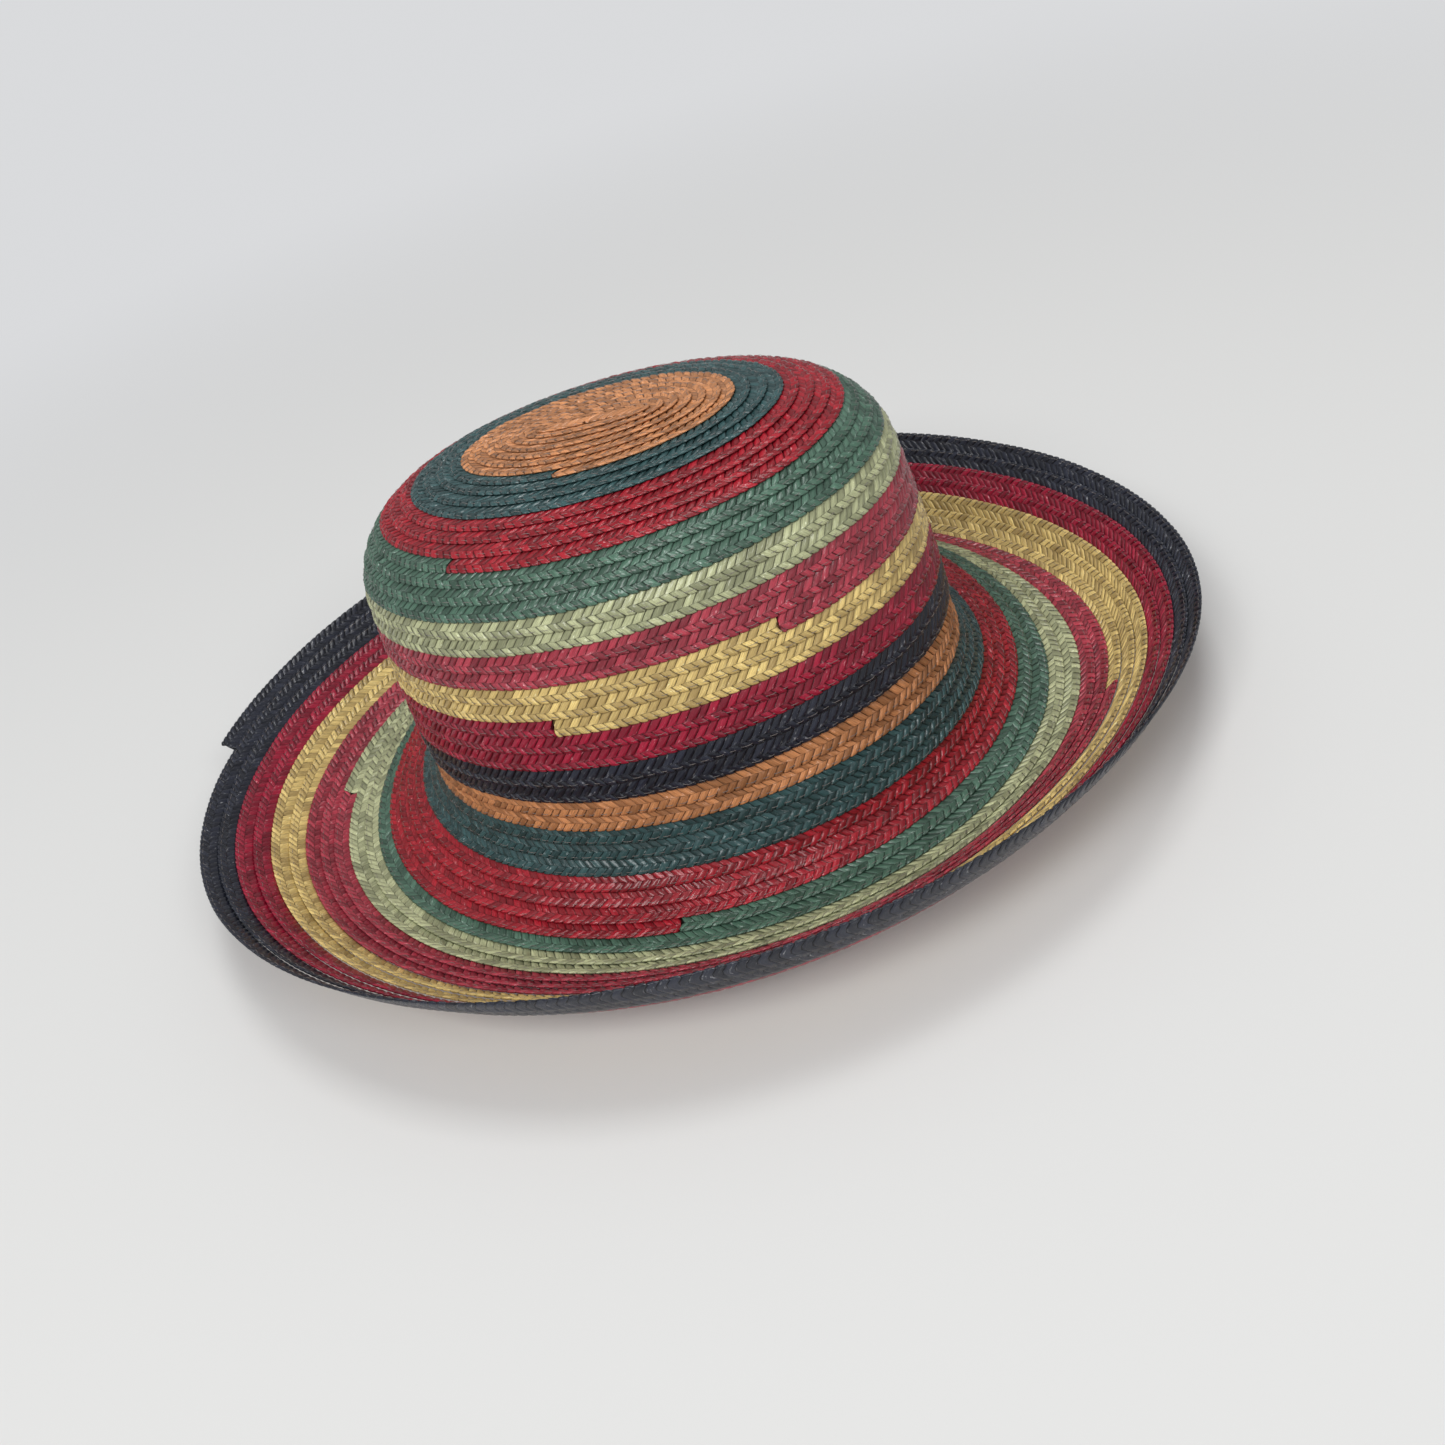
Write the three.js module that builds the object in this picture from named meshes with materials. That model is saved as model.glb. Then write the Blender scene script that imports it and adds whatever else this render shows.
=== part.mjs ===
// A sewn straw hat: an oval rounded crown and a wide brim that rolls up at its edge.
// One long plait of straw winds round the crown from the tip, and a second one, wound the
// other way, makes the brim. The plait changes colour at splices, and each coloured length
// is one solid. On the crown every turn laps under the turn before it; on the brim the turns
// lie edge to edge, so that its underside is smooth. A ribbon sweatband lines the head
// opening. Millimetres, +Z up, with the long axis of the oval along X and the brim's lowest
// ring resting on Z = 0.

import * as THREE from 'three';

const DEG = Math.PI / 180;

// ---- straw plait ----
const PLAIT_WIDTH = 7.4;       // width of the plait, part of it hidden in the lap
const PLAIT_THICKNESS = 1.2;
const CLEARANCE = 0.3;         // between neighbouring rows, and between spliced ends

// ---- plan of the hat ----
const OVAL_LENGTH = 15.8;      // half the difference between the oval's length and its width
const TIP_START = 2.4;         // outer edge of the very first bit of plait
const BRIM_START = 3.8;        // how far below the join the brim's first bit of plait reaches
const SEGMENTS = 32;           // facets in one turn

// ---- meridian: slope below the horizontal, in degrees, at arc lengths from the tip ----
const TIP_FLAT = 35;           // the tip is nearly flat this far out
const SHOULDER = 60;           // arc length of the rounded shoulder beyond it
const WALL = 65;               // arc length of the crown's side wall
const FLARE = 45;              // from the foot of the wall to the start of the dish
const DISH = 47;               // the curved bottom of the brim
const ROLL = 34;               // the rolled-up edge
const WALL_TOP = TIP_FLAT + SHOULDER;
const FOOT = WALL_TOP + WALL;
const DISH_START = FOOT + FLARE;
const ROLL_START = DISH_START + DISH;
const RIM = ROLL_START + ROLL;
const JOIN_ABOVE_FOOT = 4;     // the crown is trimmed this far above the foot of the wall
const JOIN = FOOT - JOIN_ABOVE_FOOT;
const CROWN_OVERRUN = 5.514;   // how far the crown's last turn would run past the trim
const BRIM_OVERRUN = 1.254;    // how far the brim's last turn runs past the rim

const MERIDIAN = [
  { at: 0, slope: 0 },
  { at: TIP_FLAT, slope: 7 },
  { at: TIP_FLAT + 0.45 * SHOULDER, slope: 23 },
  { at: TIP_FLAT + 0.72 * SHOULDER, slope: 49 },
  { at: WALL_TOP, slope: 83 },
  { at: FOOT - 15, slope: 87 },
  { at: FOOT, slope: 94 },
  { at: FOOT + 15, slope: 48 },
  { at: FOOT + 30, slope: 37 },
  { at: DISH_START, slope: 28 },
  { at: DISH_START + 15, slope: 8 },
  { at: DISH_START + 30, slope: -12 },
  { at: ROLL_START, slope: -36 },
  { at: RIM, slope: -50 },
];

// The brim was never quite even: its slope changes round the hat. lean is how much steeper
// it is on the side at toward, wave the same for two opposite sides, all in degrees.
const UNEVENNESS = [
  { at: FOOT, lean: 0, toward: -63, wave: 0, along: 0 },
  { at: FOOT + 15, lean: 44, toward: -63, wave: 11, along: 28 },
  { at: FOOT + 30, lean: 40, toward: -60, wave: 15, along: -20 },
  { at: DISH_START, lean: 6, toward: 39, wave: 6, along: 0 },
  { at: DISH_START + 15, lean: 31, toward: 90, wave: 8, along: 90 },
  { at: DISH_START + 30, lean: 27, toward: 84, wave: 14, along: 76 },
  { at: ROLL_START, lean: 9, toward: -117, wave: 9, along: -45 },
  { at: RIM, lean: 7, toward: 143, wave: 23, along: 15 },
];

// The brim's lowest ring stands level on a table, which leans the crown a little.
const LEAN_ANGLE = 3.6;        // degrees
const LEAN_TOWARD = 146;       // the side that the crown leans to, degrees from +X
const REST_CRUSH = 0.8;        // how much the lowest straw is pressed flat by the table

// ---- sweatband ----
const BAND_WIDTH = 26;
const BAND_THICKNESS = 0.8;
const BAND_ABOVE_JOIN = 2;     // the ribbon's lower edge, above the crown's lower edge
const BAND_STANDOFF = 1.15;    // from the inside of a row, halfway up its lap, to the ribbon

// ---- colours ----
const STRAW = {
  orange: 0xb4713f, teal: 0x2f4a4b, red: 0x9d1d2d, green: 0x46705d, sage: 0xb0b07f,
  rose: 0xb43a4b, gold: 0xcdaa5c, crimson: 0x98103a, navy: 0x24242f, ribbon: 0x1e1e24,
};

// Coloured lengths of plait in sewing order: turns round the hat, and the pitch of the rows.
// turn is the direction of winding seen from above, and from is where it starts, in degrees.
// The rows are eased together or apart so that they end at end.
const CROWN = {
  name: 'crown', from: 264, turn: -1, laps: true,
  start: TIP_START, end: JOIN + CROWN_OVERRUN, inner: CLEARANCE / 2, outer: JOIN,
  lengths: [
    { colour: 'orange', turns: 7, pitch: 4.8 },
    { colour: 'teal', turns: 3.43, pitch: 5.3 },
    { colour: 'red', turns: 3.63, pitch: 5 },
    { colour: 'green', turns: 3.26, pitch: 5.2 },
    { colour: 'sage', turns: 2.08, pitch: 6 },
    { colour: 'rose', turns: 2.48, pitch: 5.9 },
    { colour: 'gold', turns: 2.13, pitch: 6 },
    { colour: 'crimson', turns: 2.31, pitch: 6.7 },
    { colour: 'navy', turns: 2.48, pitch: 6.8 },
  ],
};
const BRIM = {
  name: 'brim', from: 100, turn: 1, laps: false,
  start: JOIN + BRIM_START, end: RIM + BRIM_OVERRUN, inner: JOIN + CLEARANCE,
  outer: Infinity,
  lengths: [
    { colour: 'orange', turns: 2, pitch: 6 },
    { colour: 'teal', turns: 3, pitch: 5.8 },
    { colour: 'red', turns: 3.48, pitch: 5.5 },
    { colour: 'green', turns: 1.52, pitch: 6.4 },
    { colour: 'sage', turns: 2.23, pitch: 5.9 },
    { colour: 'rose', turns: 2.49, pitch: 5.5 },
    { colour: 'gold', turns: 2.28, pitch: 6.8 },
    { colour: 'crimson', turns: 2, pitch: 6.2 },
    { colour: 'navy', turns: 2.22, pitch: 6.5 },
  ],
};

// ---- helpers ----
const lerp = THREE.MathUtils.lerp;

// Straight-line reading of a list of stations, held level past both ends.
function read(stations, at, key) {
  let i = 1;
  while (i < stations.length - 1 && stations[i].at < at) i++;
  const a = stations[i - 1];
  const b = stations[i];
  const f = THREE.MathUtils.clamp((at - a.at) / (b.at - a.at), 0, 1);
  return lerp(key(a), key(b), f);
}

// ---- the hat's middle surface ----
// Slope of the straw at arc length s on the side at angle a, in radians.
function slope(s, a) {
  const cosine = read(UNEVENNESS, s, (u) => u.lean * Math.cos(u.toward * DEG));
  const sine = read(UNEVENNESS, s, (u) => u.lean * Math.sin(u.toward * DEG));
  const cosine2 = read(UNEVENNESS, s, (u) => u.wave * Math.cos(2 * u.along * DEG));
  const sine2 = read(UNEVENNESS, s, (u) => u.wave * Math.sin(2 * u.along * DEG));
  const uneven = cosine * Math.cos(a) + sine * Math.sin(a)
    + cosine2 * Math.cos(2 * a) + sine2 * Math.sin(2 * a);
  return (read(MERIDIAN, s, (m) => m.slope) + uneven) * DEG;
}

const STEP = 1;
const leanAxis = new THREE.Vector3(
  -Math.sin(LEAN_TOWARD * DEG), Math.cos(LEAN_TOWARD * DEG), 0);

// Walks down one meridian and keeps a point for every STEP of arc length.
function walkMeridian(a) {
  const points = [];
  let r = 0;
  let z = 0;
  for (let s = 0; s <= RIM + 4 * PLAIT_WIDTH; s += STEP) {
    const p = new THREE.Vector3((r + OVAL_LENGTH) * Math.cos(a), r * Math.sin(a), z);
    points.push(p.applyAxisAngle(leanAxis, LEAN_ANGLE * DEG));
    const middle = slope(s + STEP / 2, a);
    r += STEP * Math.cos(middle);
    z -= STEP * Math.sin(middle);
  }
  return points;
}

const meridians = Array.from({ length: SEGMENTS }, (_, j) =>
  walkMeridian((j / SEGMENTS) * 2 * Math.PI));
const meridian = (j) => meridians[((j % SEGMENTS) + SEGMENTS) % SEGMENTS];

function along(line, s) {
  const i = THREE.MathUtils.clamp(Math.floor(s / STEP), 0, line.length - 2);
  return line[i].clone().lerp(line[i + 1], s / STEP - i);
}

// Outward direction: up on the tip, out on the wall, up again on the brim.
function outward(j, s) {
  const down = along(meridian(j), s + STEP).sub(along(meridian(j), Math.max(s - STEP, 0)));
  const round = along(meridian(j + 1), s + STEP).sub(along(meridian(j - 1), s + STEP));
  return down.cross(round).normalize();
}

function surfacePoint(j, s, height) {
  return along(meridian(j), s).addScaledVector(outward(j, s), height);
}

// ---- rows of plait ----
const LAP_RISE = PLAIT_THICKNESS + CLEARANCE;   // each row sits this much over the next one

for (const winding of [CROWN, BRIM]) {
  const planned = winding.lengths.reduce((sum, { turns, pitch }) => sum + turns * pitch, 0);
  winding.ease = (winding.end - winding.start) / planned;
}

// Outer edge of the winding after t turns.
function outerEdge(winding, t) {
  let s = winding.start;
  let left = t;
  for (const length of winding.lengths) {
    const last = length === winding.lengths.at(-1);
    const pitch = length.pitch * winding.ease;
    if (left <= length.turns || last) return s + left * pitch;
    s += length.turns * pitch;
    left -= length.turns;
  }
  return s;
}

// The four corners of the plait's section after t turns, at meridian j. The order is inner
// edge below and above, then outer edge above and below.
function rowSection(winding, t, j) {
  const edge = outerEdge(winding, t);
  const before = outerEdge(winding, t - 1);
  const pitch = edge - before;
  const hidden = winding.laps ? edge - PLAIT_WIDTH : before + CLEARANCE;
  const inner = t < 1 ? winding.inner : Math.max(winding.inner, hidden);
  const outer = Math.min(winding.outer, edge);
  const rise = winding.laps ? LAP_RISE : 0;
  const height = (s) => rise * ((s - before) / pitch - 0.5);
  const half = PLAIT_THICKNESS / 2;
  return [
    surfacePoint(j, inner, height(inner) - half),
    surfacePoint(j, inner, height(inner) + half),
    surfacePoint(j, outer, height(outer) + half),
    surfacePoint(j, outer, height(outer) - half),
  ];
}

// A section anywhere along the winding lies on the straight facet between two meridians.
function sectionAt(winding, t) {
  const round = ((winding.from / 360 + winding.turn * t) * SEGMENTS);
  const j = Math.floor(round);
  const tAt = (k) => t + ((k - round) / SEGMENTS) * winding.turn;
  const share = round - j;
  const a = rowSection(winding, tAt(j), j);
  const b = rowSection(winding, tAt(j + 1), j + 1);
  return a.map((p, i) => p.lerp(b[i], share));
}

function sectionsBetween(winding, t0, t1) {
  const stops = [t0];
  const phase = (winding.from / 360) * SEGMENTS * winding.turn;
  const first = Math.ceil(t0 * SEGMENTS + phase + 1e-6) - phase;
  for (let k = first; k < t1 * SEGMENTS - 1e-6; k++) stops.push(k / SEGMENTS);
  stops.push(t1);
  return stops.map((t) => sectionAt(winding, t));
}

// ---- solids ----
// Joins a run of four-cornered sections into a closed skin, with flat caps on open ends.
function skin(sections, ring) {
  const positions = [];
  const quad = (a, b, c, d) => positions.push(a, b, c, a, c, d);
  const runs = ring ? sections.length : sections.length - 1;
  for (let i = 0; i < runs; i++) {
    const p = sections[i];
    const q = sections[(i + 1) % sections.length];
    for (let k = 0; k < 4; k++) quad(p[k], q[k], q[(k + 1) % 4], p[(k + 1) % 4]);
  }
  if (!ring) {
    const first = sections[0];
    const last = sections.at(-1);
    quad(first[0], first[1], first[2], first[3]);
    quad(last[3], last[2], last[1], last[0]);
  }
  return positions;
}

function solid(name, triangles, flip, colour, roughness) {
  const data = [];
  for (let i = 0; i < triangles.length; i += 3) {
    const [a, b, c] = triangles.slice(i, i + 3);
    for (const p of flip ? [a, c, b] : [a, b, c]) data.push(p.x, p.y, p.z);
  }
  const geometry = new THREE.BufferGeometry();
  geometry.setAttribute('position', new THREE.Float32BufferAttribute(data, 3));
  geometry.computeVertexNormals();
  const material = new THREE.MeshStandardMaterial({ color: colour, roughness, metalness: 0 });
  const mesh = new THREE.Mesh(geometry, material);
  mesh.name = name;
  return mesh;
}

// Lowest point of the plait before the table presses on it.
function lowest(rows) {
  return Math.min(...rows.flatMap((row) => row.sections.flatMap((c) => c.map((p) => p.z))));
}

// Presses the lowest straw flat: undersides stop at the table and the straw stays thick.
function press(sections, table) {
  for (const [below, above, aboveOuter, belowOuter] of sections) {
    for (const p of [below, belowOuter]) p.z = Math.max(p.z, table);
    for (const p of [above, aboveOuter]) p.z = Math.max(p.z, table + PLAIT_THICKNESS / 2);
  }
}

function rowsOf(winding) {
  const rows = [];
  let t = 0;
  for (const { colour, turns } of winding.lengths) {
    const girth = 2 * Math.PI * along(meridian(0), outerEdge(winding, t + turns)).length();
    const cut = CLEARANCE / 2 / girth;
    const from = t === 0 ? t : t + cut * 2;
    rows.push({
      name: `${winding.name}_${colour}_plait`,
      colour,
      flip: winding.turn > 0,
      sections: sectionsBetween(winding, from, t + turns - cut * 2),
    });
    t += turns;
  }
  return rows;
}

function sweatband() {
  const bottom = JOIN - BAND_ABOVE_JOIN;
  const near = -(LAP_RISE / 2 + PLAIT_THICKNESS / 2 + BAND_STANDOFF);
  const far = near - BAND_THICKNESS;
  return Array.from({ length: SEGMENTS }, (_, j) => [
    surfacePoint(j, bottom - BAND_WIDTH, far),
    surfacePoint(j, bottom - BAND_WIDTH, near),
    surfacePoint(j, bottom, near),
    surfacePoint(j, bottom, far),
  ]);
}

// ---- assembly ----
const rows = [...rowsOf(CROWN), ...rowsOf(BRIM)];
const table = lowest(rows) + REST_CRUSH;
for (const row of rows) press(row.sections, table);

const hat = new THREE.Group();
for (const { name, colour, flip, sections } of rows) {
  hat.add(solid(name, skin(sections, false), flip, STRAW[colour], 0.45));
}
hat.add(solid('sweatband', skin(sweatband(), true), true, STRAW.ribbon, 0.9));

// The origin is under the middle of the hat's box, on the table.
const box = new THREE.Box3().setFromObject(hat);
const middle = box.getCenter(new THREE.Vector3());
for (const mesh of hat.children) mesh.position.set(-middle.x, -middle.y, -table);

export default hat;
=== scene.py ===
"""A sewn straw hat in coloured stripes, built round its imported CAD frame.

Each coloured length of plait is woven over the hat's surface as its own closed tape, with
the relief of its straws, and the rows lap as they are sewn. Lengths are in metres, except
in the tables, which are in millimetres and degrees.
"""

import math

import bmesh
import bpy
import numpy as np
from bpy.props import (
    BoolProperty,
    FloatProperty,
    FloatVectorProperty,
    PointerProperty,
)
from mathutils import Matrix, Vector


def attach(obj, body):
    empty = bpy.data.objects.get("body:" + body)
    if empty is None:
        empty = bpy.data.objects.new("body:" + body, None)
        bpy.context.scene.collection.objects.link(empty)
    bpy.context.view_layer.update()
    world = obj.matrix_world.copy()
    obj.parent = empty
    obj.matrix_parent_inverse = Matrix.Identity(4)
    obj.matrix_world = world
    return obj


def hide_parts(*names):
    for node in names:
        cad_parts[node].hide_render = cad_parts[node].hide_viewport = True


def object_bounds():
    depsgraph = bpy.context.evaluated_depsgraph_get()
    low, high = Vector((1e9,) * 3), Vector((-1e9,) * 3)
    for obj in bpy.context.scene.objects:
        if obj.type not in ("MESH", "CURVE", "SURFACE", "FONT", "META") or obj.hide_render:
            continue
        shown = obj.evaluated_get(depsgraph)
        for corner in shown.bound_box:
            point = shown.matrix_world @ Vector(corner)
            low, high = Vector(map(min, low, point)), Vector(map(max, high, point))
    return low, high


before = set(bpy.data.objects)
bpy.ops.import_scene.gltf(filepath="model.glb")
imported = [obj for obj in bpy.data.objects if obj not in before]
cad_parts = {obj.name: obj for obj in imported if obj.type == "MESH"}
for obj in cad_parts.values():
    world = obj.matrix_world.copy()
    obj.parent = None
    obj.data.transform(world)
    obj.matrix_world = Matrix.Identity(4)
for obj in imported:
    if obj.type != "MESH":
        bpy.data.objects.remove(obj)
CAD_BOX = [list(corner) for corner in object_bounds()]

bl_info = {
    "name": "Sewn straw hat",
    "version": (1, 0, 0),
    "blender": (4, 5, 0),
    "location": "View3D > Sidebar > Straw Hat",
    "description": "Weaves a striped straw hat over its construction frame",
    "category": "Object",
}

MM = 0.001
BODY = "root"

# ---- construction, as the CAD has it ----
OVAL_LENGTH = 15.8 * MM
JOIN = 156 * MM
RIM_REACH = 330 * MM           # how far the surface is worked out, past the rim
STEP = 1 * MM                  # between the surface's rings of points
TIP_START = 2.4 * MM           # arc length of the outer edge where the crown's plait begins
TIP_HOLE = 0.15 * MM           # left open at the very tip
BRIM_START = 3.8 * MM          # the same edge of the brim's plait, past the join
BRIM_TUCK = 1.2 * MM           # how far the brim's first row goes up behind the join
HALF_ROW = 3 * MM
LEAN_ANGLE = 3.6
LEAN_TOWARD = 146

# Slope of the straw below the horizontal at arc lengths from the tip, in mm and degrees.
MERIDIAN = [
    (0, 0), (35, 7), (62, 23), (78.2, 49), (95, 83), (145, 87), (160, 94),
    (175, 48), (190, 37), (205, 28), (220, 8), (235, -12), (252, -36), (286, -50),
]
# Unevenness of the brim: arc length, lean and its direction, wave and its direction.
UNEVENNESS = [
    (160, 0, -63, 0, 0), (175, 44, -63, 11, 28), (190, 40, -60, 15, -20),
    (205, 6, 39, 6, 0), (220, 31, 90, 8, 90), (235, 27, 84, 14, 76),
    (252, 9, -117, 9, -45), (286, 7, 143, 23, 15),
]

# Coloured lengths of plait in sewing order: colour, turns round the hat, pitch in mm.
CROWN_LENGTHS = [
    ("orange", 7, 4.8), ("teal", 3.43, 5.3), ("red", 3.63, 5), ("green", 3.26, 5.2),
    ("sage", 2.08, 6), ("rose", 2.48, 5.9), ("gold", 2.13, 6), ("crimson", 2.31, 6.7),
    ("navy", 2.48, 6.8),
]
BRIM_LENGTHS = [
    ("orange", 2, 6), ("teal", 3, 5.8), ("red", 3.48, 5.5), ("green", 1.52, 6.4),
    ("sage", 2.23, 5.9), ("rose", 2.49, 5.5), ("gold", 2.28, 6.8), ("crimson", 2, 6.2),
    ("navy", 2.22, 6.5),
]


# The stitches: one stitch and the dip after it, the thread, and their place across the plait.
STITCH = 4.6 * MM
STITCH_STATIONS = 5
STITCH_SHARE = 0.86
THREAD = 0.18 * MM
THREAD_SIDES = 4

# The ribbon that lines the head opening.
BAND_WIDTH = 26 * MM
BAND_THICKNESS = 0.8 * MM
BAND_ABOVE_JOIN = 2 * MM
BAND_STANDOFF = 2.5 * MM       # from the straw's middle surface to the ribbon's outer face
BAND_STATIONS = 240
BAND_ROWS = 8


# ---- the hat's middle surface ----
class HatSurface:
    """Middle surface of the straw as a grid of points over arc length and angle."""

    ANGLES = 360

    def __init__(self):
        arcs = np.arange(0, RIM_REACH, STEP)
        angles = np.radians(np.arange(self.ANGLES) * 360 / self.ANGLES)
        middles = arcs + STEP / 2
        slopes = np.radians(self._slope(middles / MM, angles))
        r = np.zeros((len(arcs), self.ANGLES))
        z = np.zeros_like(r)
        r[1:] = np.cumsum(STEP * np.cos(slopes), 0)[:-1]
        z[1:] = -np.cumsum(STEP * np.sin(slopes), 0)[:-1]
        x = (r + OVAL_LENGTH) * np.cos(angles)
        y = r * np.sin(angles)
        lean = Matrix.Rotation(
            math.radians(LEAN_ANGLE), 3,
            Vector((-math.sin(math.radians(LEAN_TOWARD)),
                    math.cos(math.radians(LEAN_TOWARD)), 0)))
        self.points = np.stack([x, y, z], -1) @ np.array(lean).T
        self.outward = self._outward()

    @staticmethod
    def _slope(arcs, angles):
        at = [station[0] for station in UNEVENNESS]
        slope = np.interp(arcs, *zip(*MERIDIAN))[:, None]
        for size, toward, times in ((1, 2, 1), (3, 4, 2)):
            amount = np.array([station[size] for station in UNEVENNESS])
            turned = np.radians([station[toward] * times for station in UNEVENNESS])
            cosine = np.interp(arcs, at, amount * np.cos(turned))[:, None]
            sine = np.interp(arcs, at, amount * np.sin(turned))[:, None]
            slope = slope + cosine * np.cos(times * angles) + sine * np.sin(times * angles)
        return slope

    def _outward(self):
        down = np.gradient(self.points, axis=0)
        around = np.roll(self.points, -1, 1) - np.roll(self.points, 1, 1)
        around[0] = around[1]
        normals = np.cross(down, around)
        return normals / np.linalg.norm(normals, axis=-1, keepdims=True)

    def at(self, arc, angle, height):
        """Points at arc lengths, angles in turns and heights over the middle surface."""
        i = np.clip(arc / STEP, 0, len(self.points) - 1.001)
        j = (angle % 1) * self.ANGLES
        i0 = i.astype(int)
        j0 = j.astype(int) % self.ANGLES
        fi = (i - i0)[..., None]
        fj = (j - np.floor(j))[..., None]
        j1 = (j0 + 1) % self.ANGLES

        def blend(grid):
            near = grid[i0, j0] * (1 - fj) + grid[i0, j1] * fj
            far = grid[i0 + 1, j0] * (1 - fj) + grid[i0 + 1, j1] * fj
            return near * (1 - fi) + far * fi

        return blend(self.points) + blend(self.outward) * height[..., None]


class Winding:
    """One long plait wound round the hat: its colours, its hand and where it starts.

    inner and outer are the arc lengths that it stays between, and middle is the place
    across the plait, as a share of its width, where its two bands of straws meet.
    """

    def __init__(self, name, lengths, start_degrees, hand, start, inner, outer, middle):
        self.name = name
        self.middle = middle
        self.lengths = lengths
        self.start_turn = start_degrees / 360
        self.hand = hand
        self.inner = inner
        self.outer = outer
        self.ends = np.concatenate([[0], np.cumsum([turns for _, turns, _ in lengths])])
        widths = [turns * pitch * MM for _, turns, pitch in lengths]
        self.edges = start + np.concatenate([[0], np.cumsum(widths)])
        self.first_pitch = lengths[0][2] * MM

    def edge(self, t):
        """Arc length of the plait's outer edge after t turns."""
        inside = np.interp(t, self.ends, self.edges)
        last_pitch = self.lengths[-1][2] * MM
        return inside + np.minimum(t, 0) * self.first_pitch \
            + np.maximum(t - self.ends[-1], 0) * last_pitch

    def angle(self, t):
        """Angle round the hat after t turns, in turns."""
        return self.start_turn + self.hand * t


CROWN = Winding("crown", CROWN_LENGTHS, start_degrees=264, hand=-1, start=TIP_START,
                inner=TIP_HOLE, outer=JOIN, middle=0.66)
BRIM = Winding("brim", BRIM_LENGTHS, start_degrees=100, hand=1, start=JOIN + BRIM_START,
               inner=JOIN - BRIM_TUCK, outer=RIM_REACH, middle=0.58)
SURFACE = HatSurface()


# Softboxes: name, watts, size across and place.
LIGHTS = (
    ("window_light", 62, 1.3, (-0.5, -2.2, 2.3)),
    ("side_light", 12, 0.6, (1.5, -1.3, 1.5)),
    ("top_light", 16, 0.8, (0.1, 0.4, 2.4)),
)
LIGHT_AIM = (0, 0, 0.05)
WORLD_LIGHT = 0.36
BACKDROP_LIGHT = 0.72
BACKDROP_COLOUR = (0.97, 0.98, 1.0, 1)
FLOOR_COLOUR = (0.66, 0.66, 0.65, 1)
FLOOR_SIZE = 30
FLOOR_DROP = 1.2 * MM
# Distances from the hat between which the floor fades into the backdrop.
FADE_START = 0.28
FADE_END = 1.1


# ---- properties ----
class StrawHatPlait(bpy.types.PropertyGroup):
    """Sizes of the straw plait."""

    width: FloatProperty(
        name="Plait width", description="Full width of the plait, lap included",
        default=7.4 * MM, unit="LENGTH")
    thickness: FloatProperty(
        name="Plait thickness", description="Thickness of the plait over its straws",
        default=1.2 * MM, unit="LENGTH")
    leaf: FloatProperty(
        name="Leaf length", description="Length along the plait of one crossing straw",
        default=3.3 * MM, unit="LENGTH")
    slant: FloatProperty(
        name="Slant", description="Run along the plait for each unit that a straw crosses",
        default=0.85)
    relief: FloatProperty(
        name="Relief", description="Height of a straw over the gap beside it",
        default=0.62 * MM, unit="LENGTH")
    serration: FloatProperty(
        name="Serration", description="How far the turned straws stand out of the edges",
        default=0.42 * MM, unit="LENGTH")
    lap_rise: FloatProperty(
        name="Lap rise", description="How far a row lies over the next one at its lap",
        default=1.05 * MM, unit="LENGTH")
    wander: FloatProperty(
        name="Wander", description="How far the sewn rows stray from an even spiral",
        default=0.3 * MM, unit="LENGTH")


def straw_colour(label, colour):
    return FloatVectorProperty(
        name=label, description="Dye colour of the " + label.lower() + " straw",
        subtype="COLOR", size=3, min=0, max=1, default=colour)


class StrawHatColours(bpy.types.PropertyGroup):
    """Dye colours of the straw, as linear values."""

    orange: straw_colour("Orange", (0.590, 0.250, 0.100))
    teal: straw_colour("Teal", (0.029, 0.080, 0.083))
    red: straw_colour("Red", (0.340, 0.005, 0.016))
    green: straw_colour("Green", (0.068, 0.145, 0.100))
    sage: straw_colour("Sage", (0.440, 0.460, 0.260))
    rose: straw_colour("Rose", (0.400, 0.036, 0.060))
    gold: straw_colour("Gold", (0.800, 0.550, 0.200))
    crimson: straw_colour("Crimson", (0.330, 0.004, 0.030))
    navy: straw_colour("Navy", (0.013, 0.016, 0.030))


class StrawHatStage(bpy.types.PropertyGroup):
    """Camera and backdrop."""

    focal_length: FloatProperty(
        name="Focal length", description="Camera focal length in millimetres on a 36 mm sensor",
        default=36, min=1)
    distance: FloatProperty(
        name="Distance", description="From the camera to the aim point",
        default=0.52913, unit="LENGTH")
    azimuth: FloatProperty(
        name="Azimuth", description="Camera direction round the hat",
        default=math.radians(19.18), subtype="ANGLE")
    elevation: FloatProperty(
        name="Elevation", description="Camera height above the hat",
        default=math.radians(35.22), subtype="ANGLE")
    roll: FloatProperty(
        name="Roll", description="Turn of the camera about its own axis",
        default=math.radians(-18.08), subtype="ANGLE")
    aim: FloatVectorProperty(
        name="Aim", description="Point that the camera looks at",
        size=3, subtype="TRANSLATION", default=(0.0247, -0.0266, 0.0229))
    backdrop: BoolProperty(
        name="Backdrop", description="Add the pale floor and backdrop", default=True)


# ---- shader helpers ----
def node(tree, kind, inputs=(), **settings):
    """A node with its settings, whose inputs are set or linked by name or number."""
    made = tree.nodes.new(kind)
    for key, value in settings.items():
        setattr(made, key, value)
    for key, value in dict(inputs).items():
        if isinstance(value, bpy.types.NodeSocket):
            tree.links.new(value, made.inputs[key])
        else:
            made.inputs[key].default_value = value
    return made


def maths(tree, operation, a, b=0.0, clamp=False):
    return node(tree, "ShaderNodeMath", {0: a, 1: b}, operation=operation,
                use_clamp=clamp).outputs[0]


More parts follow.
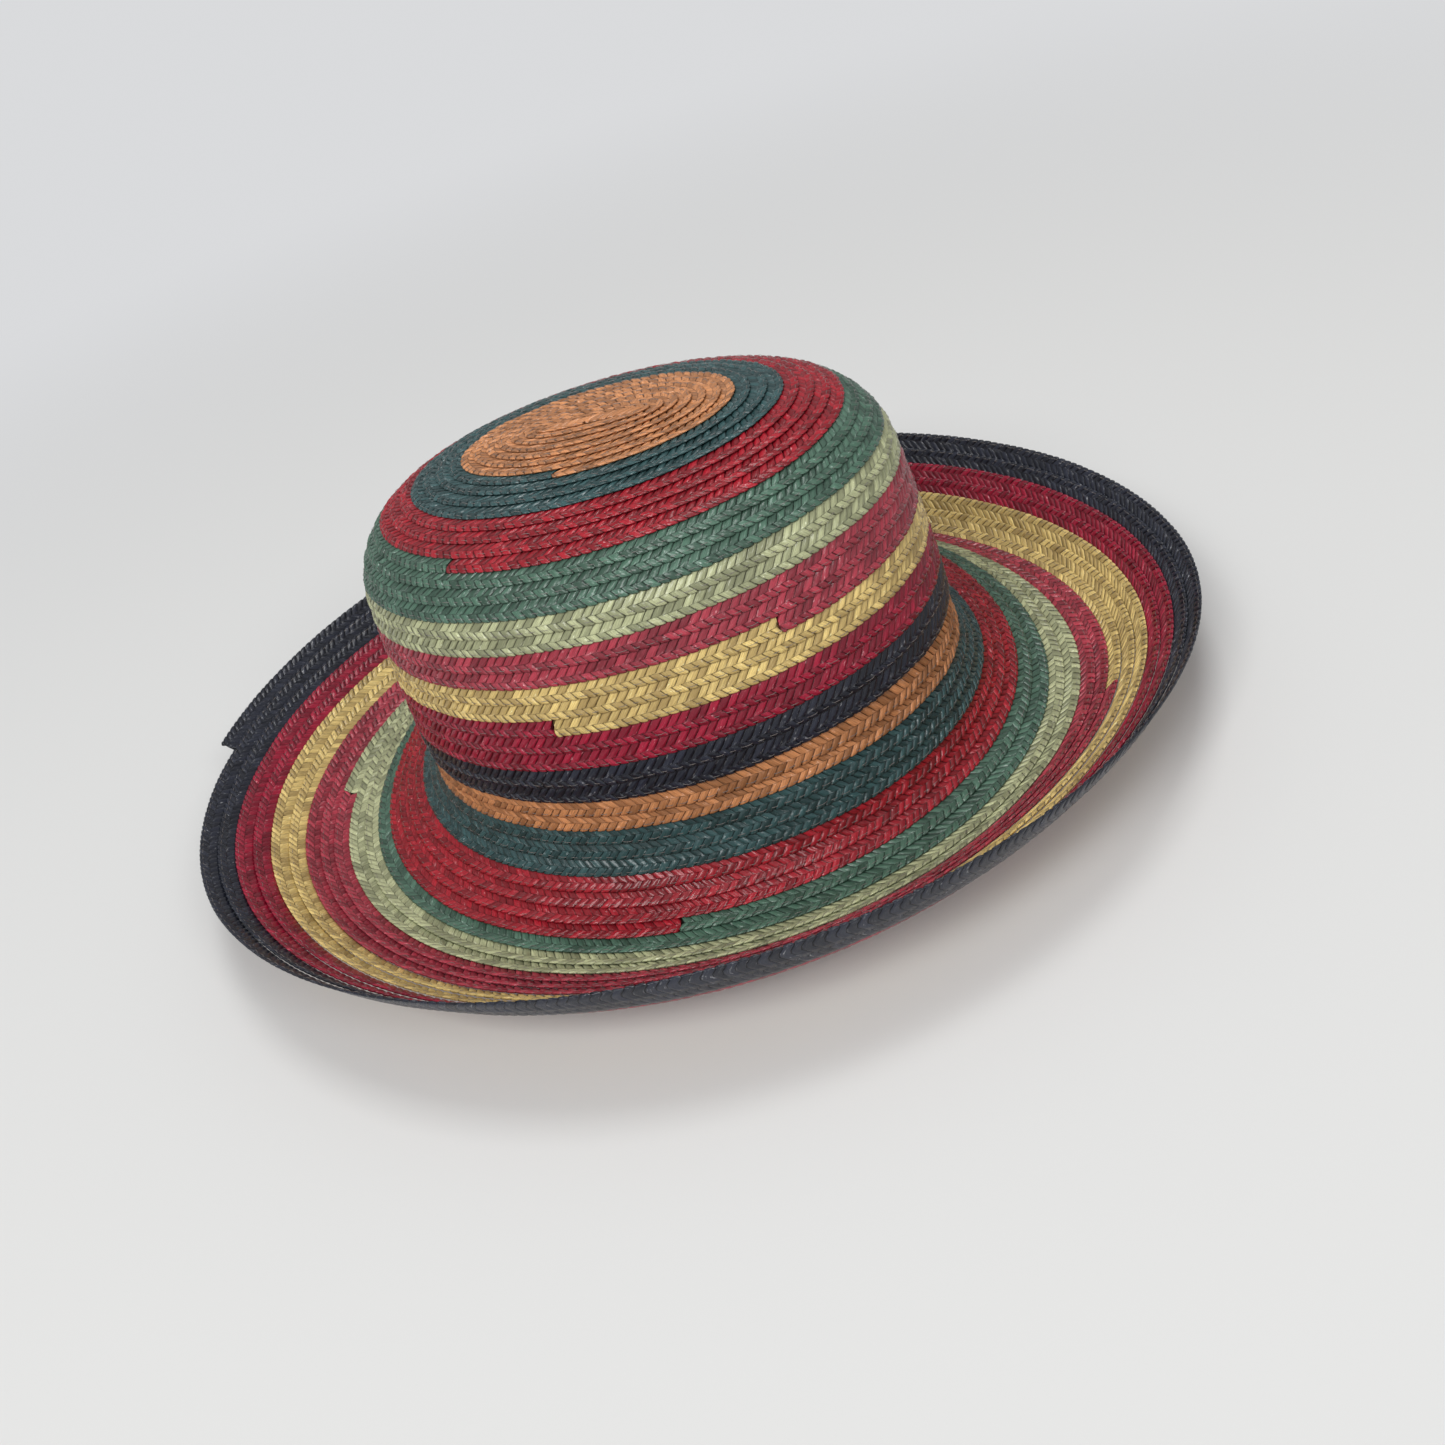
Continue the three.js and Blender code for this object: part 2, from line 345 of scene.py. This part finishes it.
def spread(tree, value, low, high, to_low=0.0, to_high=1.0):
    """Value from low to high, spread smoothly from to_low to to_high."""
    made = node(tree, "ShaderNodeMapRange",
                {"Value": value, "From Min": low, "From Max": high,
                 "To Min": to_low, "To Max": to_high})
    made.interpolation_type = "SMOOTHSTEP"
    return made.outputs["Result"]


def mix_colour(tree, factor, a, b, blend="MIX"):
    made = node(tree, "ShaderNodeMix", data_type="RGBA", blend_type=blend)
    for key, value in (("Factor_Float", factor), ("A_Color", a), ("B_Color", b)):
        socket = next(s for s in made.inputs if s.identifier == key)
        if isinstance(value, bpy.types.NodeSocket):
            tree.links.new(value, socket)
        else:
            socket.default_value = value
    return next(s for s in made.outputs if s.identifier == "Result_Color")


def new_group(name, inputs, outputs):
    tree = bpy.data.node_groups.new(name, "ShaderNodeTree")
    for label, kind, default in inputs:
        socket = tree.interface.new_socket(label, in_out="INPUT", socket_type=kind)
        if default is not None:
            socket.default_value = default
    for label, kind in outputs:
        tree.interface.new_socket(label, in_out="OUTPUT", socket_type=kind)
    return tree, node(tree, "NodeGroupInput"), node(tree, "NodeGroupOutput")


def straw_weave_group():
    """Leaves of the plait. U counts the straws along it, and V the bands across it."""
    name = "straw weave"
    if name in bpy.data.node_groups:
        return bpy.data.node_groups[name]
    tree, into, out = new_group(
        name,
        [("Leaves", "NodeSocketVector", None)],
        [("Shade", "NodeSocketFloat"), ("Gap", "NodeSocketFloat"),
         ("Edge", "NodeSocketFloat"), ("Fibre", "NodeSocketFloat"),
         ("Height", "NodeSocketFloat"), ("Fleck", "NodeSocketFloat")])
    leaves = node(tree, "ShaderNodeSeparateXYZ", {0: into.outputs["Leaves"]})
    along, across = leaves.outputs["X"], leaves.outputs["Y"]
    leaf, band = maths(tree, "FLOOR", along), maths(tree, "FLOOR", across)
    x, y = maths(tree, "FRACT", along), maths(tree, "FRACT", across)
    key = node(tree, "ShaderNodeCombineXYZ", {"X": leaf, "Y": band})
    random = node(tree, "ShaderNodeTexWhiteNoise", {"Vector": key.outputs[0]},
                  noise_dimensions="3D")
    # Fibres run across the band, the way that each straw does.
    stretched = node(tree, "ShaderNodeCombineXYZ",
                     {"X": maths(tree, "MULTIPLY", along, 15.0),
                      "Y": maths(tree, "MULTIPLY", across, 1.1),
                      "Z": random.outputs["Value"]})
    fibre = node(tree, "ShaderNodeTexNoise",
                 {"Vector": stretched.outputs[0], "Scale": 1.0, "Detail": 3.0,
                  "Roughness": 0.65})
    fleck = node(tree, "ShaderNodeTexNoise",
                 {"Vector": node(tree, "ShaderNodeCombineXYZ",
                                 {"X": maths(tree, "MULTIPLY", along, 2.6),
                                  "Y": maths(tree, "MULTIPLY", across, 1.7)}).outputs[0],
                  "Scale": 1.0, "Detail": 4.0, "Roughness": 0.75})
    ragged = maths(tree, "MULTIPLY",
                   maths(tree, "SUBTRACT", fleck.outputs["Fac"], 0.5), 0.22)
    side = maths(tree, "ADD", maths(tree, "MINIMUM", x, maths(tree, "SUBTRACT", 1.0, x)),
                 ragged)
    end = maths(tree, "ADD", maths(tree, "MINIMUM", y, maths(tree, "SUBTRACT", 1.0, y)),
                ragged)
    # Gap is where the straws part; the straw material paints shade there.
    gap = maths(tree, "MAXIMUM", spread(tree, side, 0.015, 0.09, 1.0, 0.0),
                spread(tree, end, 0.0, 0.035, 0.6, 0.0))
    edge = maths(tree, "MAXIMUM", spread(tree, side, 0.1, 0.24, 1.0, 0.0),
                 spread(tree, end, 0.1, 0.3, 1.0, 0.0))
    height = maths(tree, "ADD", spread(tree, side, 0.0, 0.14),
                   maths(tree, "MULTIPLY", fibre.outputs["Fac"], 0.6))
    for label, value in (("Shade", random.outputs["Value"]), ("Gap", gap), ("Edge", edge),
                         ("Fibre", fibre.outputs["Fac"]), ("Height", height),
                         ("Fleck", fleck.outputs["Fac"])):
        tree.links.new(value, out.inputs[label])
    return tree


def tint(colour, times, add=0.0):
    """A colour scaled and lifted, as a shader value."""
    return (*(min(1, channel * times + add) for channel in colour), 1)


def straw_material(colour_name, colour, shine, edge_paleness):
    """Dyed and lacquered straw. The last argument is how pale the edges of the straws are."""
    material = bpy.data.materials.new("woven_straw_" + colour_name)
    material.use_nodes = True
    tree = material.node_tree
    shader = tree.nodes["Principled BSDF"]
    uv = node(tree, "ShaderNodeUVMap", uv_map="UVMap")
    weave = node(tree, "ShaderNodeGroup", node_tree=straw_weave_group())
    tree.links.new(uv.outputs[0], weave.inputs["Leaves"])
    place = node(tree, "ShaderNodeTexCoord")
    patch = node(tree, "ShaderNodeTexNoise",
                 {"Vector": place.outputs["Object"], "Scale": 38.0, "Detail": 4.0,
                  "Roughness": 0.6})
    shade = weave.outputs["Shade"]
    base = mix_colour(tree, shade, tint(colour, 0.5), tint(colour, 1.35, 0.004))
    base = mix_colour(tree, spread(tree, weave.outputs["Fibre"], 0.32, 0.66, 0.6, 0.0),
                      base, tint(colour, 0.35))
    base = mix_colour(tree, spread(tree, weave.outputs["Fibre"], 0.55, 0.8, 0.0, 0.5),
                      base, tint(colour, 1.7, 0.02))
    base = mix_colour(tree, spread(tree, patch.outputs["Fac"], 0.45, 0.75, 0.0, 0.4),
                      base, tint(colour, 0.5, 0.004))
    # Paler edges: the straws' edges lighten where the fleck noise allows, as far as each colour's
    # edge paleness.
    pale_edges = maths(tree, "MULTIPLY", weave.outputs["Edge"],
                 spread(tree, weave.outputs["Fleck"], 0.52, 0.66, 0.0, edge_paleness))
    base = mix_colour(tree, pale_edges, base, tint(colour, 0.9, 0.2))
    # Painted highlights: pale glints are painted into the colour in flecks, stronger on the paler
    # leaves.
    painted_glint = maths(tree, "MULTIPLY", spread(tree, weave.outputs["Fleck"], 0.6, 0.68),
                  spread(tree, shade, 0.2, 0.9, 0.15, 0.8))
    base = mix_colour(tree, painted_glint, base, tint(colour, 1.2, 0.34))
    # Painted shade: the gaps between the straws are darkened almost to black.
    base = mix_colour(tree, maths(tree, "MULTIPLY", weave.outputs["Gap"], 0.85), base,
                      tint(colour, 0.08))
    tree.links.new(base, shader.inputs["Base Color"])
    rough = spread(tree, weave.outputs["Fleck"], 0.35, 0.65, shine, shine + 0.25)
    tree.links.new(rough, shader.inputs["Roughness"])
    coat = maths(tree, "MULTIPLY", maths(tree, "SUBTRACT", 1.0, weave.outputs["Gap"]), 0.35)
    tree.links.new(coat, shader.inputs["Coat Weight"])
    shader.inputs["Coat Roughness"].default_value = 0.1
    shader.inputs["Specular IOR Level"].default_value = 0.3
    bump = node(tree, "ShaderNodeBump",
                {"Height": weave.outputs["Height"], "Strength": 0.8,
                 "Distance": 0.00022})
    tree.links.new(bump.outputs[0], shader.inputs["Normal"])
    return material


# Roughness and how pale the edges of each colour's straws are.
STRAW_FINISH = {
    "orange": (0.42, 0.25), "teal": (0.34, 0.55), "red": (0.36, 0.28),
    "green": (0.36, 0.5), "sage": (0.42, 0.3), "rose": (0.36, 0.35),
    "gold": (0.40, 0.25), "crimson": (0.34, 0.3), "navy": (0.32, 0.38),
}


def thread_material():
    material = bpy.data.materials.new("sewing_thread")
    material.use_nodes = True
    tree = material.node_tree
    shader = tree.nodes["Principled BSDF"]
    uv = node(tree, "ShaderNodeUVMap", uv_map="UVMap")
    twist = node(tree, "ShaderNodeTexWave",
                 {"Vector": uv.outputs[0], "Scale": 2.2, "Distortion": 0.4},
                 bands_direction="DIAGONAL")
    colour = mix_colour(tree, twist.outputs["Fac"], (0.2, 0.17, 0.16, 1),
                        (0.46, 0.42, 0.4, 1))
    tree.links.new(colour, shader.inputs["Base Color"])
    shader.inputs["Roughness"].default_value = 0.35
    shader.inputs["Alpha"].default_value = 0.55
    bump = node(tree, "ShaderNodeBump",
                {"Height": twist.outputs["Fac"], "Strength": 0.4, "Distance": 0.0001})
    tree.links.new(bump.outputs[0], shader.inputs["Normal"])
    return material


def ribbon_material():
    """Grosgrain: fine ribs across the ribbon."""
    material = bpy.data.materials.new("sweatband_ribbon")
    material.use_nodes = True
    tree = material.node_tree
    shader = tree.nodes["Principled BSDF"]
    uv = node(tree, "ShaderNodeUVMap", uv_map="UVMap")
    ribs = node(tree, "ShaderNodeTexWave",
                {"Vector": uv.outputs[0], "Scale": 0.32, "Distortion": 0.15},
                bands_direction="X")
    lint = node(tree, "ShaderNodeTexNoise",
                {"Vector": uv.outputs[0], "Scale": 0.8, "Detail": 4.0})
    colour = mix_colour(tree, ribs.outputs["Fac"], (0.006, 0.006, 0.009, 1),
                        (0.028, 0.028, 0.034, 1))
    colour = mix_colour(tree, spread(tree, lint.outputs["Fac"], 0.5, 0.8, 0, 0.3), colour,
                        (0.06, 0.06, 0.065, 1))
    tree.links.new(colour, shader.inputs["Base Color"])
    shader.inputs["Roughness"].default_value = 0.75
    shader.inputs["Sheen Weight"].default_value = 0.3
    bump = node(tree, "ShaderNodeBump",
                {"Height": ribs.outputs["Fac"], "Strength": 0.7, "Distance": 0.0003})
    tree.links.new(bump.outputs[0], shader.inputs["Normal"])
    return material


# ---- tapes ----
def tape(name, place, cells, closed_ring=False):
    """A closed tape from a grid: place and cells are points and UVs for its vertices.

    Rows of the grid run along the tape, and its columns go once round the section, so the
    first and last columns meet in a seam that is merged.
    """
    stations, columns = place.shape[:2]
    work = bmesh.new()
    work.loops.layers.uv.new("UVMap")
    bmesh.ops.create_grid(work, x_segments=stations - 1, y_segments=columns - 1, size=0.5)
    mesh = bpy.data.meshes.new(name)
    work.to_mesh(mesh)
    work.free()
    flat = np.empty(len(mesh.vertices) * 3)
    mesh.vertices.foreach_get("co", flat)
    flat = flat.reshape(-1, 3)
    i = np.rint((flat[:, 0] + 0.5) * (stations - 1)).astype(int)
    j = np.rint((flat[:, 1] + 0.5) * (columns - 1)).astype(int)
    mesh.vertices.foreach_set("co", place[i, j].astype(np.float32).ravel())
    corner = np.empty(len(mesh.loops), dtype=np.int32)
    mesh.loops.foreach_get("vertex_index", corner)
    mesh.uv_layers["UVMap"].data.foreach_set(
        "uv", cells[i[corner], j[corner]].astype(np.float32).ravel())
    work = bmesh.new()
    work.from_mesh(mesh)
    bmesh.ops.remove_doubles(work, verts=work.verts, dist=1e-7)
    if not closed_ring:
        rim = [edge for edge in work.edges if edge.is_boundary]
        bmesh.ops.holes_fill(work, edges=rim, sides=0)
    bmesh.ops.recalc_face_normals(work, faces=work.faces)
    work.to_mesh(mesh)
    work.free()
    mesh.polygons.foreach_set("use_smooth", [True] * len(mesh.polygons))
    piece = bpy.data.objects.new(name, mesh)
    bpy.context.scene.collection.objects.link(piece)
    return piece


def wander(t, seed):
    """Slow hand-made drift along a sewn row, between -1 and 1."""
    source = np.random.RandomState(seed)
    total = np.zeros_like(t)
    for rate in (2.3, 5.1, 11.7, 23.0):
        total += np.sin(2 * np.pi * (rate * t + source.rand())) / rate ** 0.5
    return total / 1.6


# Stations of one leaf as shares of its length: its gap, its shoulder, its back, its slope.
LEAF_STATIONS = (0.0, 0.11, 0.38, 0.74)
LEAF_PROFILE = (0.0, 0.86, 1.0, 0.74)
# Columns of the top face: band, share of the band's width, height.
TOP_COLUMNS = (
    (0, 0.0, 0.0), (0, 0.13, 0.62), (0, 0.38, 0.92), (0, 0.68, 1.0), (0, 0.95, 0.66),
    (1, 0.05, 0.55), (1, 0.28, 0.9), (1, 0.6, 0.95), (1, 0.87, 0.66), (1, 1.0, 0.0),
)
# Columns of the underside, back to the inner edge.
UNDER_COLUMNS = ((2, 0.93, 0.7), (2, 0.7, 1.0), (2, 0.5, 0.7), (2, 0.28, 1.0), (2, 0.07, 0.7))


def leaf_positions(cells, phase, source):
    """Leaf coordinate, leaf height and tilt for every station, with uneven straws."""
    stations = np.arange(4 * cells + 1) - phase
    leaf = stations // 4
    step = stations % 4
    jitter = source.uniform(-0.09, 0.09, cells + 4)
    tilt = source.uniform(-1, 1, cells + 4)
    share = np.take(LEAF_STATIONS, step)
    start, end = jitter[leaf + 1], jitter[leaf + 2]
    where = leaf + start + share * (1 + end - start) + phase / 4
    height = np.take(LEAF_PROFILE, step) * (1 + 0.16 * tilt[leaf + 1])
    twist = tilt[leaf + 1] * (np.take(LEAF_PROFILE, step) > 0)
    return where, leaf + share, height, twist


class PlaitShape:
    """Where any point of a plait lies: its station, its place across, and its height."""

    def __init__(self, winding, plait, offset):
        self.winding = winding
        self.plait = plait
        self.offset = offset

    def point(self, t, share, height):
        """Points at t turns, at share of the width from the inner edge, at a height."""
        winding, width = self.winding, self.plait.width
        stray = wander(t, 7) * self.plait.wander
        edge = winding.edge(t) + stray
        before = winding.edge(t - 1)
        pitch = winding.edge(t) - before
        inner = np.where(t < 1, winding.inner, np.maximum(edge - width, winding.inner))
        outer = np.minimum(edge, winding.outer)
        arc = inner + (outer - inner) * share
        rise = self.plait.lap_rise * ((arc - before) / pitch - 0.5)
        return SURFACE.at(arc, winding.angle(t), rise + height) + self.offset


def turns_per_metre(winding, t):
    """Turns for each metre of plait near t turns."""
    angle = winding.angle(t)
    arc = winding.edge(t) - HALF_ROW
    gap = 1e-3
    a = SURFACE.at(arc, angle, np.zeros_like(t))
    b = SURFACE.at(arc, angle + gap, np.zeros_like(t))
    return gap / np.linalg.norm(b - a, axis=-1)


def even_stations(winding, t0, t1, spacing):
    """Turns of stations spaced evenly along the plait from t0 to t1, and their distances."""
    t = np.linspace(t0, t1, max(64, int((t1 - t0) * 240)))
    rate = turns_per_metre(winding, t)
    step = np.diff(t) / ((rate[1:] + rate[:-1]) / 2)
    far = np.concatenate([[0], np.cumsum(step)])
    count = max(2, int(round(far[-1] / spacing)) + 1)
    where = np.linspace(0, far[-1], count)
    return np.interp(where, far, t), where


def make_plait(winding, index, plait, offset):
    """One coloured length as a closed woven tape."""
    colour = winding.lengths[index][0]
    t0, t1 = winding.ends[index], winding.ends[index + 1]
    table_t, table_far = even_stations(winding, t0, t1, 2 * MM)
    length = table_far[-1]
    cells = max(4, int(round(length / plait.leaf)))
    size = length / cells
    source = np.random.RandomState(100 * len(winding.name) + index)
    bands = [leaf_positions(cells, phase, source) for phase in (0, 2, 0)]
    limits = ((0, winding.middle), (winding.middle, 1), (0, 1))
    columns = TOP_COLUMNS + UNDER_COLUMNS + TOP_COLUMNS[:1]
    far, share, height, cell_u, cell_v = [], [], [], [], []
    for number, (band, local, rise) in enumerate(columns):
        where, leaf, profile, twist = bands[band]
        low, high = limits[band]
        across = low + (high - low) * local
        from_middle = abs(across - winding.middle) * plait.width
        run = plait.slant * (from_middle - plait.width / 4) * (1 if band < 2 else -1)
        edgewise = np.sign(across - winding.middle)
        turned = edgewise * plait.serration / plait.width * (profile - 0.4)
        near_edge = abs(2 * across - 1) > 0.85
        rounding = (1 - (2 * across - 1) ** 8) ** 0.5
        if band < 2:
            lift = plait.thickness / 2 - plait.relief * (1 - profile * (0.5 + 0.5 * rise))
            swing = twist * (local - 0.5) * plait.relief * 0.5
            height.append((lift + swing) * rounding)
        else:
            # The underside is little seen, so it has half the relief.
            height.append(-(plait.thickness / 2 - plait.relief / 2 * (1 - profile * rise)))
        far.append(np.clip(where * size - run, 0, length))
        share.append(across + turned * near_edge)
        cell_u.append(leaf)
        last = number == len(columns) - 1
        cell_v.append(np.full_like(where, 2.004 if last else band + np.clip(local, 0.004, 0.996)))
    far, share, height = (np.stack(values, 1) for values in (far, share, height))
    grid_t = np.interp(far, table_far, table_t)
    shape = PlaitShape(winding, plait, offset)
    place = shape.point(grid_t, share, height)
    cells_uv = np.stack([np.stack(cell_u, 1), np.stack(cell_v, 1)], -1)
    piece = tape(f"{winding.name}_{colour}_straw", place, cells_uv)
    piece.data.materials.append(bpy.data.materials["woven_straw_" + colour])
    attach(piece, BODY)
    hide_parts(f"{winding.name}_{colour}_plait")
    return piece


def hat_offset(plait):
    """Moves the surface so that its tip and the middle of its plan sit as in the CAD."""
    low = np.array(CAD_BOX[0])
    high = np.array(CAD_BOX[1])
    edges = []
    for winding in (CROWN, BRIM):
        t = np.linspace(0, winding.ends[-1], 3000)
        arc = np.minimum(winding.edge(t), winding.outer)
        edges.append(SURFACE.at(arc, winding.angle(t), np.zeros_like(t)))
    points = np.vstack(edges)
    middle = (points.min(0) + points.max(0)) / 2
    offset = (low + high) / 2 - middle
    offset[2] = high[2] - points[:, 2].max() - plait.thickness / 2
    return offset


def ensure_straw_materials(colours):
    for name, (shine, edge_paleness) in STRAW_FINISH.items():
        if "woven_straw_" + name not in bpy.data.materials:
            straw_material(name, tuple(getattr(colours, name)), shine, edge_paleness)


# ---- operators ----
class STRAWHAT_OT_crown(bpy.types.Operator):
    """Wind the coloured lengths of plait that make the crown"""

    bl_idname = "strawhat.crown"
    bl_label = "Wind the crown"

    def execute(self, context):
        plait = context.scene.straw_hat_plait
        ensure_straw_materials(context.scene.straw_hat_colours)
        offset = hat_offset(plait)
        for index in range(len(CROWN.lengths)):
            make_plait(CROWN, index, plait, offset)
        return {"FINISHED"}


class STRAWHAT_OT_brim(bpy.types.Operator):
    """Wind the coloured lengths of plait that make the brim"""

    bl_idname = "strawhat.brim"
    bl_label = "Wind the brim"

    def execute(self, context):
        plait = context.scene.straw_hat_plait
        ensure_straw_materials(context.scene.straw_hat_colours)
        offset = hat_offset(plait)
        for index in range(len(BRIM.lengths)):
            make_plait(BRIM, index, plait, offset)
        return {"FINISHED"}


class STRAWHAT_OT_thread(bpy.types.Operator):
    """Sew the rows together: a thread that runs over and under the straw"""

    bl_idname = "strawhat.thread"
    bl_label = "Sew the rows"

    def execute(self, context):
        plait = context.scene.straw_hat_plait
        offset = hat_offset(plait)
        material = thread_material()
        for winding, first_turn in ((CROWN, 0.6), (BRIM, 0.4)):
            shape = PlaitShape(winding, plait, offset)
            t, far = even_stations(winding, first_turn, winding.ends[-1] - 0.3,
                                   STITCH / STITCH_STATIONS)
            wave = np.sin(2 * np.pi * far / STITCH)
            surface = plait.thickness / 2
            centre = surface * 0.75 + np.clip(wave * 0.9, -1, 0.3) * 0.55 * MM
            sides = np.arange(THREAD_SIDES + 1) / THREAD_SIDES * 2 * np.pi + np.pi / 4
            share = STITCH_SHARE + np.cos(sides)[None, :] * THREAD / 2 / plait.width \
                + (wander(t, 3) * 0.02)[:, None]
            height = centre[:, None] + np.sin(sides)[None, :] * THREAD / 2
            grid_t = np.repeat(t[:, None], len(sides), 1)
            place = shape.point(grid_t, share, height)
            cells = np.stack([np.repeat(far[:, None] / MM, len(sides), 1),
                              np.repeat(sides[None, :], len(t), 0)], -1)
            piece = tape(winding.name + "_sewing_thread", place, cells)
            piece.data.materials.append(material)
            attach(piece, BODY)
        return {"FINISHED"}


class STRAWHAT_OT_sweatband(bpy.types.Operator):
    """Line the head opening with a ring of grosgrain ribbon"""

    bl_idname = "strawhat.sweatband"
    bl_label = "Line the opening"

    def execute(self, context):
        plait = context.scene.straw_hat_plait
        offset = hat_offset(plait)
        angle = np.linspace(0, 1, BAND_STATIONS + 1)[:-1]
        bottom = JOIN - BAND_ABOVE_JOIN
        near = -BAND_STANDOFF
        far = near - BAND_THICKNESS
        share = np.concatenate(
            [np.linspace(0, 1, BAND_ROWS), np.linspace(1, 0, BAND_ROWS), [0]])
        high = np.concatenate([np.full(BAND_ROWS, near), np.full(BAND_ROWS, far), [near]])
        angles = np.repeat(np.concatenate([angle, angle[:1]])[:, None], len(share), 1)
        ripple = 0.25 * MM * np.sin(2 * np.pi * 9 * angles) \
            + 0.18 * MM * np.sin(2 * np.pi * 17 * angles + 1)
        arc = bottom - BAND_WIDTH * (1 - share[None, :]) + 0 * angles
        place = SURFACE.at(arc, angles, high[None, :] + ripple) + offset
        around = np.linspace(0, 1, BAND_STATIONS + 1)
        girth = np.linalg.norm(np.diff(place[:, 0], axis=0), axis=1).sum()
        cells = np.stack([np.repeat(around[:, None] * girth / MM, len(share), 1),
                          np.repeat(share[None, :] * BAND_WIDTH / MM, len(around), 0)], -1)
        piece = tape("sweatband_ribbon", place, cells, closed_ring=True)
        piece.data.materials.append(ribbon_material())
        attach(piece, BODY)
        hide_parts("sweatband")
        return {"FINISHED"}


class STRAWHAT_OT_stage(bpy.types.Operator):
    """Set up the pale floor, the soft light and the camera"""

    bl_idname = "strawhat.stage"
    bl_label = "Set the stage"

    def execute(self, context):
        settings = context.scene.straw_hat_stage
        self.camera(context, settings)
        self.lights(context)
        if settings.backdrop:
            self.floor(context)
        context.scene.view_settings.view_transform = "Standard"
        return {"FINISHED"}

    @staticmethod
    def camera(context, settings):
        data = bpy.data.cameras.new("camera")
        data.sensor_width = 36
        data.lens = settings.focal_length
        data.clip_start = 0.01
        camera = bpy.data.objects.new("camera", data)
        context.scene.collection.objects.link(camera)
        turn = (Matrix.Rotation(settings.azimuth, 4, "Z")
                @ Matrix.Rotation(math.pi / 2 - settings.elevation, 4, "X")
                @ Matrix.Rotation(settings.roll, 4, "Z"))
        place = Matrix.Translation(Vector(settings.aim)) @ turn \
            @ Matrix.Translation((0, 0, settings.distance))
        camera.matrix_world = place
        context.scene.camera = camera

    @staticmethod
    def lights(context):
        for name, power, size, spot in LIGHTS:
            data = bpy.data.lights.new(name, "AREA")
            data.energy = power
            data.size = size
            light = bpy.data.objects.new(name, data)
            light.location = spot
            aim = Vector(LIGHT_AIM) - Vector(spot)
            light.rotation_euler = aim.to_track_quat("-Z", "Y").to_euler()
            context.scene.collection.objects.link(light)
        world = bpy.data.worlds.new("studio")
        world.use_nodes = True
        background = world.node_tree.nodes["Background"]
        background.inputs["Color"].default_value = BACKDROP_COLOUR
        path = node(world.node_tree, "ShaderNodeLightPath")
        strength = spread(world.node_tree, path.outputs["Is Camera Ray"], 0, 1,
                          WORLD_LIGHT, BACKDROP_LIGHT)
        world.node_tree.links.new(strength, background.inputs["Strength"])
        context.scene.world = world

    @staticmethod
    def floor(context):
        work = bmesh.new()
        bmesh.ops.create_grid(work, x_segments=1, y_segments=1, size=FLOOR_SIZE)
        mesh = bpy.data.meshes.new("floor")
        work.to_mesh(mesh)
        work.free()
        floor = bpy.data.objects.new("floor", mesh)
        floor.location.z = -FLOOR_DROP
        context.scene.collection.objects.link(floor)
        material = bpy.data.materials.new("pale_floor")
        material.use_nodes = True
        tree = material.node_tree
        shader = tree.nodes["Principled BSDF"]
        shader.inputs["Base Color"].default_value = FLOOR_COLOUR
        shader.inputs["Roughness"].default_value = 0.9
        # The floor fades into the even backdrop away from the hat, for the camera only.
        place = node(tree, "ShaderNodeTexCoord")
        reach = node(tree, "ShaderNodeVectorMath", {0: place.outputs["Object"]},
                     operation="LENGTH")
        path = node(tree, "ShaderNodeLightPath")
        fade = maths(tree, "MULTIPLY",
                     spread(tree, reach.outputs["Value"], FADE_START, FADE_END),
                     path.outputs["Is Camera Ray"])
        glow = node(tree, "ShaderNodeEmission",
                    {"Color": BACKDROP_COLOUR, "Strength": BACKDROP_LIGHT})
        blend = node(tree, "ShaderNodeMixShader",
                     {0: fade, 1: shader.outputs[0], 2: glow.outputs[0]})
        tree.links.new(blend.outputs[0], tree.nodes["Material Output"].inputs["Surface"])
        mesh.materials.append(material)


class STRAWHAT_PT_panel(bpy.types.Panel):
    """The straw hat's operators and sizes"""

    bl_idname = "STRAWHAT_PT_panel"
    bl_label = "Straw Hat"
    bl_space_type = "VIEW_3D"
    bl_region_type = "UI"
    bl_category = "Straw Hat"

    def draw(self, context):
        layout = self.layout
        for operator in OPERATORS:
            layout.operator(operator.bl_idname)
        for group in ("straw_hat_plait", "straw_hat_colours", "straw_hat_stage"):
            settings = getattr(context.scene, group)
            for name in settings.__annotations__:
                layout.prop(settings, name)


OPERATORS = (
    STRAWHAT_OT_stage, STRAWHAT_OT_crown, STRAWHAT_OT_brim, STRAWHAT_OT_thread,
    STRAWHAT_OT_sweatband,
)
GROUPS = {
    "straw_hat_plait": StrawHatPlait,
    "straw_hat_colours": StrawHatColours,
    "straw_hat_stage": StrawHatStage,
}


def register():
    for group_class in (*GROUPS.values(), *OPERATORS, STRAWHAT_PT_panel):
        bpy.utils.register_class(group_class)
    for name, group_class in GROUPS.items():
        setattr(bpy.types.Scene, name, PointerProperty(type=group_class))


def unregister():
    for name in GROUPS:
        delattr(bpy.types.Scene, name)
    for group_class in reversed((*GROUPS.values(), *OPERATORS, STRAWHAT_PT_panel)):
        bpy.utils.unregister_class(group_class)


def main():
    register()
    bpy.ops.strawhat.stage()
    bpy.ops.strawhat.crown()
    bpy.ops.strawhat.brim()
    bpy.ops.strawhat.thread()
    bpy.ops.strawhat.sweatband()


if __name__ == "__main__":
    main()
